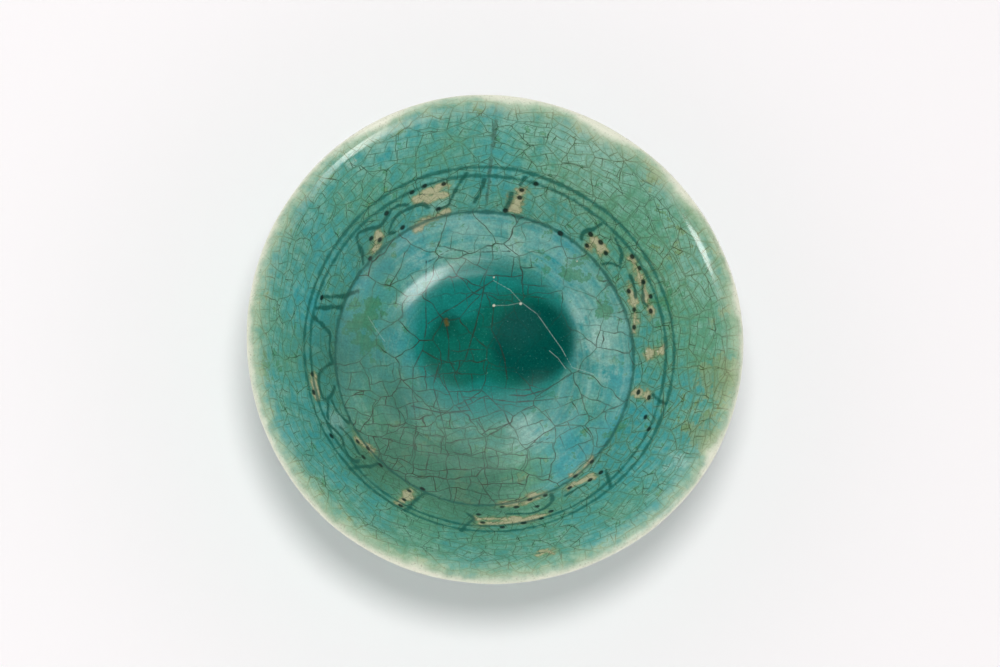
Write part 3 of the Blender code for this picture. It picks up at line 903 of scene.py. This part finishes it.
# How much the glaze is crazed: most at the rim and in green patches, least in the blue ones
crazed = add(tree, MATH, {0: cloud, 1: 1.5, 2: -0.6}, operation="MULTIPLY_ADD")
for part, weight in ((on_wall, 0.3), (read["green"], 0.6), (at_rim, 0.3), (read["crackled"], 1)):
    crazed = add(tree, MATH, {0: part, 1: weight, 2: crazed}, operation="MULTIPLY_ADD")

# Crazing in three nets: long cracks, then shorter ones that end square on them, then a fine net inside
WANDER = 2.5
WANDER_SIZE = 6
LONG_CELL = 9.0
LONG_LINE = 0.18
HALO_REACH = 1.2
CELL_SHIFT = 90
wander = add(tree, NOISE, {"Vector": place, "Scale": 1 / (WANDER_SIZE * MM), "Detail": 1})
wander = add(tree, VECTOR_MATH, {0: wander.outputs["Color"], 1: (0.5, 0.5, 0.5)}, operation="SUBTRACT")
wander = add(tree, VECTOR_MATH, {0: wander, 1: (WANDER * MM,) * 3, 2: spread}, operation="MULTIPLY_ADD")
long_cells = {"Vector": wander, "Scale": 1 / (LONG_CELL * MM), "Randomness": 0.95}
VORONOI = "ShaderNodeTexVoronoi"
edge = add(tree, VORONOI, long_cells, feature="DISTANCE_TO_EDGE", voronoi_dimensions="2D")
crackle = add(tree, RANGE, {"Value": edge, "From Min": LONG_LINE / LONG_CELL,
                            "From Max": 0.3 * LONG_LINE / LONG_CELL, "To Max": 0.9})
halo = add(tree, RANGE, {"Value": edge, "From Min": HALO_REACH / LONG_CELL, "From Max": 0, "To Max": 0.35})
tint = add(tree, VORONOI, long_cells, voronoi_dimensions="2D").outputs["Color"]
cells_at = wander
BRICK = "ShaderNodeTexBrick"
CRAZING = [  # height of its cells, half a line, crazing where it starts and is full, strength, halo
    (4.0, 0.17, 0.05, 0.30, 0.85, 0.25),
    (2.0, 0.13, 0.25, 0.70, 0.55, 0.12),
]
for height, half_line, starts, full, strength, halo_strength in CRAZING:
    loose = add(tree, VECTOR_MATH, {0: tint, 1: (CELL_SHIFT * MM,) * 3, 2: cells_at},
                operation="MULTIPLY_ADD")
    askew = add(tree, "ShaderNodeSeparateColor", {"Color": tint}).outputs["Red"]
    askew = add(tree, RANGE, {"Value": askew, "To Min": -0.5, "To Max": 0.5})
    cells_at = add(tree, "ShaderNodeVectorRotate", {"Vector": loose, "Angle": askew},
                   rotation_type="Z_AXIS")
    cell = {"Vector": cells_at, "Scale": 1 / (height * MM), "Brick Width": 1.5, "Row Height": 1,
            "Color1": (0, 0, 0, 1), "Color2": (1, 1, 1, 1), "Mortar Smooth": 0.7}
    amount = add(tree, RANGE, {"Value": crazed, "From Min": starts, "From Max": full})
    net = add(tree, BRICK, {**cell, "Mortar Size": half_line / height})
    line = add(tree, MATH, {0: net.outputs["Fac"], 1: strength}, operation="MULTIPLY")
    line = add(tree, MATH, {0: line, 1: amount}, operation="MULTIPLY")
    glow = add(tree, BRICK, {**cell, "Mortar Size": HALO_REACH / height, "Mortar Smooth": 1})
    glow = add(tree, MATH, {0: glow.outputs["Fac"], 1: halo_strength}, operation="MULTIPLY")
    glow = add(tree, MATH, {0: glow, 1: amount}, operation="MULTIPLY")
    crackle = add(tree, MATH, {0: line, 1: crackle}, operation="MAXIMUM")
    halo = add(tree, MATH, {0: glow, 1: halo}, operation="MAXIMUM")
    tint = net.outputs["Color"]
least = add(tree, RANGE, {"Value": on_wall, "To Min": 0.45, "To Max": 0.25})
fade = add(tree, RANGE, {"Value": mottle, "From Min": 0.38, "From Max": 0.6, "To Min": least})
crackle = add(tree, MATH, {0: crackle, 1: fade}, operation="MULTIPLY")
clear = add(tree, MATH, {0: read["dark"], 1: read["moss"]}, operation="MAXIMUM")
clear = add(tree, RANGE, {"Value": clear, "To Min": 1, "To Max": 0.15})
crackle = add(tree, MATH, {0: crackle, 1: clear}, operation="MULTIPLY")
seam = add(tree, MATH, {0: angle}, operation="ABSOLUTE")
seam = add(tree, MATH, {0: ragged, 1: 0.06, 2: seam}, operation="MULTIPLY_ADD")
seam = add(tree, RANGE, {"Value": seam, "From Min": SEAM_EDGE, "From Max": SEAM_CORE, "To Max": 0.6})
seam = add(tree, MATH, {0: seam, 1: fade}, operation="MULTIPLY")
seam = add(tree, MATH, {0: seam, 1: on_wall}, operation="MULTIPLY")
long_crack = add(tree, MATH, {0: ragged, 1: 0.7, 2: read["crack"]}, operation="MULTIPLY_ADD")
long_crack = add(tree, RANGE, {"Value": long_crack, "From Min": 0.3, "From Max": 0.09, "To Max": 0.7})
crackle = add(tree, MATH, {0: crackle, 1: long_crack}, operation="MAXIMUM")
crackle = add(tree, MATH, {0: crackle, 1: seam}, operation="MAXIMUM")

# Blue to green to pale, the pale in places a painted sheen
greenness = add(tree, MATH, {0: cloud, 1: 1.5, 2: -0.43}, operation="MULTIPLY_ADD")
for part, weight in ((ragged, 1), (streak, 0.4), (arcs, 0.5), (halo, 1), (on_wall, 0.18),
                     (read["green"], 1)):
    greenness = add(tree, MATH, {0: part, 1: weight, 2: greenness}, operation="MULTIPLY_ADD")
greenness = add(tree, RANGE, {"Value": greenness})
colour = add(tree, MIX, {"Factor": greenness, "A": TURQUOISE_BLUE, "B": TURQUOISE_GREEN}, data_type="RGBA")
paleness_and_sheen = read["pale"]
for part, weight in ((ragged, 1.2), (streak, 0.5), (arcs, 1.0), (at_rim, 0.15)):
    paleness_and_sheen = add(tree, MATH, {0: part, 1: weight, 2: paleness_and_sheen}, operation="MULTIPLY_ADD")
paleness_and_sheen = add(tree, RANGE, {"Value": paleness_and_sheen})
colour = add(tree, MIX, {"Factor": paleness_and_sheen, "A": colour, "B": PALE_TURQUOISE_AND_SHEEN}, data_type="RGBA")

# Olive stain that has crept in beside the cracks of the wall
crept = add(tree, MATH, {0: halo, 1: on_wall}, operation="MULTIPLY")
grime = add(tree, RANGE, {"Value": read["crackled"], "From Max": 0.35, "To Min": 0.2})
crept = add(tree, MATH, {0: crept, 1: grime}, operation="MULTIPLY")
crept = add(tree, RANGE, {"Value": crept, "From Max": 0.25, "To Max": 0.3})
colour = add(tree, MIX, {"Factor": crept, "A": colour, "B": linear("#7d9458")}, data_type="RGBA")


def ragged_layer(under, value, raggedness, starts, full, strength, code):
    """Lays a colour over another where a value passes from starts to full, with a ragged edge."""
    edge = add(tree, MATH, {0: ragged, 1: raggedness, 2: value}, operation="MULTIPLY_ADD")
    cover = add(tree, RANGE, {"Value": edge, "From Min": starts, "From Max": full, "To Max": strength},
                interpolation_type="SMOOTHSTEP")
    return add(tree, MIX, {"Factor": cover, "A": under, "B": linear(code)}, data_type="RGBA")


# Flakes where the copper separated: mossy green, milky where burial clouded it and where a sheen is
# painted in, olive where it tarnished
FLAKES = [  # attribute, stray of its edges, strength, colour
    ("moss", 5.0, 0.65, "#3d8a5c"),
    ("haze", 2.2, 0.4, "#abd4ca"),
    ("tarnish", 3.0, 0.45, "#8d9a62"),
]
for name, stray, strength, code in FLAKES:
    colour = ragged_layer(colour, read[name], stray, 0.5, 0.75, strength, code)

# Darker in spots, on the shelf most of all, and a little uneven everywhere
thick = add(tree, RANGE, {"Value": read["thick"], "To Max": 0.75})
colour = add(tree, MIX, {"Factor": thick, "A": colour, "B": TURQUOISE_DARKER}, data_type="RGBA")
shade = add(tree, MATH, {0: grain, 1: 0.9, 2: 0.45}, operation="MULTIPLY_ADD")
for part, weight in ((ragged, 0.4), (on_wall, 0.07)):
    shade = add(tree, MATH, {0: part, 1: weight, 2: shade}, operation="MULTIPLY_ADD")

# The pool: teal at its edge, then green, and dark to the right of its middle
depth = add(tree, MATH, {0: ragged, 1: 0.35, 2: read["deep"]}, operation="MULTIPLY_ADD")
POOL_LAYERS = [  # what it follows, where it starts and is full, colour
    (depth, 0.05, 0.45, POOL_TEAL),
    (depth, 0.5, 0.95, POOL_GREEN),
    (read["dark"], 0.1, 0.9, POOL_DARK),
]
for amount, starts, full, pool in POOL_LAYERS:
    share = add(tree, RANGE, {"Value": amount, "From Min": starts, "From Max": full},
                interpolation_type="SMOOTHSTEP")
    colour = add(tree, MIX, {"Factor": share, "A": colour, "B": pool}, data_type="RGBA")

# Bare patches, paint and the scar, each with an edge that the firing left ragged
PAINT_LAYERS = [  # attribute, reach, softness, raggedness, strength, colour
    ("buff", 2.4, 1.4, 9.0, 0.6, "#8ea672"),
    ("buff", 1.6, 0.7, 11.0, 0.55, "#a0955f"),
    ("buff", 1.0, 0.7, 11.0, 0.8, "#d4d0aa"),
    ("ring", 0.72, 0.55, 2.4, 0.8, "#1c6a5c"),
    ("stroke", 0.68, 0.45, 2.2, 0.85, "#1a6052"),
    ("dot", 0.95, 0.35, 0.8, 0.95, "#0f231f"),
    ("scar", 3.0, 3.0, 6.0, 0.6, "#0d4a3c"),
    ("scar", 0.7, 0.5, 4.0, 0.85, "#6f6230"),
]
for name, reach, softness, raggedness, strength, code in PAINT_LAYERS:
    starts, full = reach + softness, reach - softness
    colour = ragged_layer(colour, read[name], raggedness, starts, full, strength, code)
colour = add(tree, VECTOR_MATH, {0: colour.outputs[2], "Scale": shade}, operation="SCALE")

# Stain in the cracks, pale open ones, and chips that lay the white paste bare
wall_stain = add(tree, MIX, {"Factor": grime, "A": linear("#1f3d33"), "B": linear("#3c4020")},
                 data_type="RGBA")
stained = add(tree, MIX, {"Factor": on_wall, "A": linear("#33352d"), "B": wall_stain}, data_type="RGBA")
colour = add(tree, MIX, {"Factor": crackle, "A": colour, "B": stained}, data_type="RGBA")
split = add(tree, RANGE, {"Value": read["split"], "From Min": 0.2, "From Max": 0.06, "To Max": 0.6})
split = add(tree, MATH, {0: split, 1: fade}, operation="MULTIPLY")
colour = add(tree, MIX, {"Factor": split, "A": colour, "B": linear("#b9d3ca")}, data_type="RGBA")
colour = ragged_layer(colour, read["chip"], 1.2, 0.55, 0.2, 1, "#dddfcb")

# The lip, where the glaze drew thin over the paste and wear has taken some of it off
WORN_REACH = 3.4
WORN = [  # stray of its edges; along from the crest: start, full, full, end; strength; colour
    (14.0, -5.0, 0.5, 3.0, 7.0, 0.38, "#93a36b"),
    (6.0, -1.6, 2.6, 5.5, 9.0, 0.66, "#c1d3b8"),
    (3.5, 1.2, 3.6, 4.4, 6.5, 0.9, "#e2e6d1"),
]
for stray, starts, full, stays, ends, strength, code in WORN:
    edge = add(tree, MATH, {0: ragged, 1: stray, 2: from_lip}, operation="MULTIPLY_ADD")
    inner = add(tree, MATH, {0: read["worn"], 1: WORN_REACH, 2: edge}, operation="MULTIPLY_ADD")
    rise = add(tree, RANGE, {"Value": inner, "From Min": starts, "From Max": full, "To Max": strength})
    fall = add(tree, RANGE, {"Value": edge, "From Min": ends, "From Max": stays})
    worn = add(tree, MATH, {0: rise, 1: fall}, operation="MULTIPLY")
    colour = add(tree, MIX, {"Factor": worn, "A": colour, "B": linear(code)}, data_type="RGBA")

# Pale specks of dust and tiny pits over the pool
dust = add(tree, RANGE, {"Value": grain, "From Min": 0.64, "From Max": 0.72, "To Max": 0.3})
dust = add(tree, MATH, {0: dust, 1: read["deep"]}, operation="MULTIPLY")
colour = add(tree, MIX, {"Factor": dust, "A": colour, "B": linear("#8dbdb2")}, data_type="RGBA")

# Specks of dirt near the rim and in the bare patches
dirty = add(tree, RANGE, {"Value": read["buff"], "From Min": 2.4, "From Max": 0.6})
dirty = add(tree, MATH, {0: dirty, 1: at_rim}, operation="MAXIMUM")
speck = add(tree, RANGE, {"Value": grain, "From Min": 0.57, "From Max": 0.68, "To Max": 0.42})
speck = add(tree, MATH, {0: speck, 1: dirty}, operation="MULTIPLY")
colour = add(tree, MIX, {"Factor": speck, "A": colour, "B": linear("#5a5a36")}, data_type="RGBA")

# Gloss dulled in clouds, in the darker spots and where rubbed, on the lip and at the foot of the wall
GLOSSIEST = 0.12
dull = add(tree, RANGE, {"Value": cloud, "From Min": 0.35, "From Max": 0.7,
                         "To Min": 0.17, "To Max": 0.25})
DULLED = [(along_at_radius(SHELF_EDGE - 0.5), 6.0, 0.4), (lip_crest, 6.0, 0.3)]  # along, reach, amount
for middle, reach, amount in DULLED:
    gap = add(tree, MATH, {0: read["along"], 1: middle}, operation="SUBTRACT")
    gap = add(tree, MATH, {0: gap}, operation="ABSOLUTE")
    rub = add(tree, RANGE, {"Value": gap, "From Min": reach, "From Max": 0.4 * reach, "To Max": amount})
    dull = add(tree, MATH, {0: dull, 1: rub}, operation="ADD")
for part, weight in ((thick, 0.3), (read["rubbed"], 0.35)):
    dull = add(tree, MATH, {0: part, 1: weight, 2: dull}, operation="MULTIPLY_ADD")
dull = add(tree, MATH, {0: dull, 1: GLOSSIEST}, operation="MAXIMUM")
bump = add(tree, "ShaderNodeBump", {"Height": grain, "Strength": 0.2, "Distance": 0.05 * MM})
tree.links.new(colour.outputs[2], shader.inputs["Base Color"])
tree.links.new(dull.outputs[0], shader.inputs["Roughness"])
tree.links.new(bump.outputs["Normal"], shader.inputs["Normal"])
shader.inputs["IOR"].default_value = 1.52

for name, (slot, node) in GLAZE_PIECES.items():
    piece = shaped(name, coat.data, (parting, {"Piece": piece_numbers[name], "Material": glaze}))
    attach(piece, "root")
    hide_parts(node)
for helper in (coat, run_guide, *(lines for lines, _ in GUIDES.values())):
    bpy.data.objects.remove(helper)


# Stage: a plain pale table, which lets the camera see through it from below. A hole hidden under the foot
# lets light into the hollow there. The table, the lights and the camera are set out in metres.
TABLE_REACH = 4.0
TABLE_HOLE = (FOOT_STAND - FOOT_EDGE) * MM
TABLE_COLUMNS = 96
turns = np.linspace(0, math.tau, TABLE_COLUMNS, endpoint=False)
table_mesh = bpy.data.meshes.new("table")
table_mesh.from_pydata(
    [(r * math.cos(t), r * math.sin(t), 0) for t in turns for r in (TABLE_HOLE, TABLE_REACH)], [],
    [[(2 * n + k) % (2 * TABLE_COLUMNS) for k in (0, 1, 3, 2)] for n in range(TABLE_COLUMNS)])
table = bpy.data.objects.new("table", table_mesh)
bpy.context.scene.collection.objects.link(table)
paper, tree, shader = new_material("matt_white_paper")
shader.inputs["Base Color"].default_value = linear("#fefefe")
shader.inputs["Roughness"].default_value = 0.9
shader.inputs["Specular IOR Level"].default_value = 0.1
below = add(tree, "ShaderNodeNewGeometry").outputs["Backfacing"]
see_through = add(tree, "ShaderNodeBsdfTransparent")
sides = add(tree, "ShaderNodeMixShader", {0: below, 1: shader, 2: see_through})
tree.links.new(sides.outputs[0], tree.nodes["Material Output"].inputs["Surface"])
table_mesh.materials.append(paper)


# Light: a polarised lamp overhead, which leaves no glare, a wide window behind, and five small glints
LIGHT_DISTANCE = 1.2


def soft_box(name, azimuth, elevation, power, width, height, shape="ELLIPSE"):
    """A light this far round and up from the bowl, turned to face it, with its power in watts."""
    light = bpy.data.lights.new(name, "AREA")
    light.shape = shape
    light.energy = power
    light.size = width
    light.size_y = height
    lamp = bpy.data.objects.new(name, light)
    turn, lift = math.radians(azimuth), math.radians(elevation)
    towards = Vector((math.cos(turn) * math.cos(lift), math.sin(turn) * math.cos(lift), math.sin(lift)))
    facing = towards.to_track_quat("Z", "Y").to_matrix().to_4x4()
    lamp.matrix_world = Matrix.Translation(towards * LIGHT_DISTANCE) @ facing
    bpy.context.scene.collection.objects.link(lamp)
    return lamp


soft_box("overhead_lamp", 172, 85.8, 6.1, 0.28, 0.28).visible_glossy = False
soft_box("back_window", 86, 44, 8.5, 1.6, 1.16, "RECTANGLE").visible_diffuse = False
soft_box("back_glint", 104, 26, 1.2, 0.3, 0.25).visible_diffuse = False
soft_box("right_glint", -43, 38, 6.4, 0.75, 0.3).visible_diffuse = False
soft_box("left_glint", 195, 19, 4, 0.36, 0.42).visible_diffuse = False
soft_box("low_glint", 320, 27, 2.2, 0.75, 0.12).visible_diffuse = False
soft_box("high_glint", 290, 53, 0.9, 0.4, 0.25).visible_diffuse = False

# Room: pale walls, brightest low down, and a dim ceiling
world = bpy.data.worlds.new("pale_room")
bpy.context.scene.world = world
world.use_nodes = True
tree = world.node_tree
room = tree.nodes["Background"]
looking = add(tree, "ShaderNodeSeparateXYZ", {"Vector": add(tree, "ShaderNodeTexCoord")}).outputs["Z"]
wall = add(tree, RANGE, {"Value": looking, "From Min": 0.92, "From Max": 0.55,
                         "To Min": 0.05, "To Max": 1.05}, interpolation_type="SMOOTHSTEP")
low_wall = add(tree, RANGE, {"Value": looking, "From Min": 0.35, "From Max": 0.1, "To Max": 0.25},
               interpolation_type="SMOOTHSTEP")
wall = add(tree, MATH, {0: wall, 1: low_wall}, operation="ADD")
glare = add(tree, "ShaderNodeLightPath").outputs["Is Glossy Ray"]
unseen = add(tree, RANGE, {"Value": glare, "To Min": 1, "To Max": 0.2})
wall = add(tree, MATH, {0: wall, 1: unseen}, operation="MULTIPLY")
room.inputs["Color"].default_value = linear("#fdf6f8")
tree.links.new(wall.outputs[0], room.inputs["Strength"])


# Camera, tilted a little off the bowl's axis
AIM = Vector((0, 0, 60)) * MM
VIEW_DISTANCE = 1.2
VIEW_TILT = math.radians(13.5)
VIEW_AZIMUTH = math.radians(242)
back = Vector((
    math.sin(VIEW_TILT) * math.cos(VIEW_AZIMUTH),
    math.sin(VIEW_TILT) * math.sin(VIEW_AZIMUTH),
    math.cos(VIEW_TILT)))
right = (Vector((1, 0, 0)) - back * back.x).normalized()
lens = bpy.data.cameras.new("camera")
lens.lens = 134.6
lens.sensor_width = 36
lens.shift_x = 0.0046
lens.shift_y = 0.0028
camera = bpy.data.objects.new("camera", lens)
turned = Matrix((right, back.cross(right), back)).transposed().to_4x4()
camera.matrix_world = Matrix.Translation(AIM + back * VIEW_DISTANCE) @ turned
bpy.context.scene.collection.objects.link(camera)
bpy.context.scene.camera = camera
bpy.context.scene.view_settings.view_transform = "Standard"
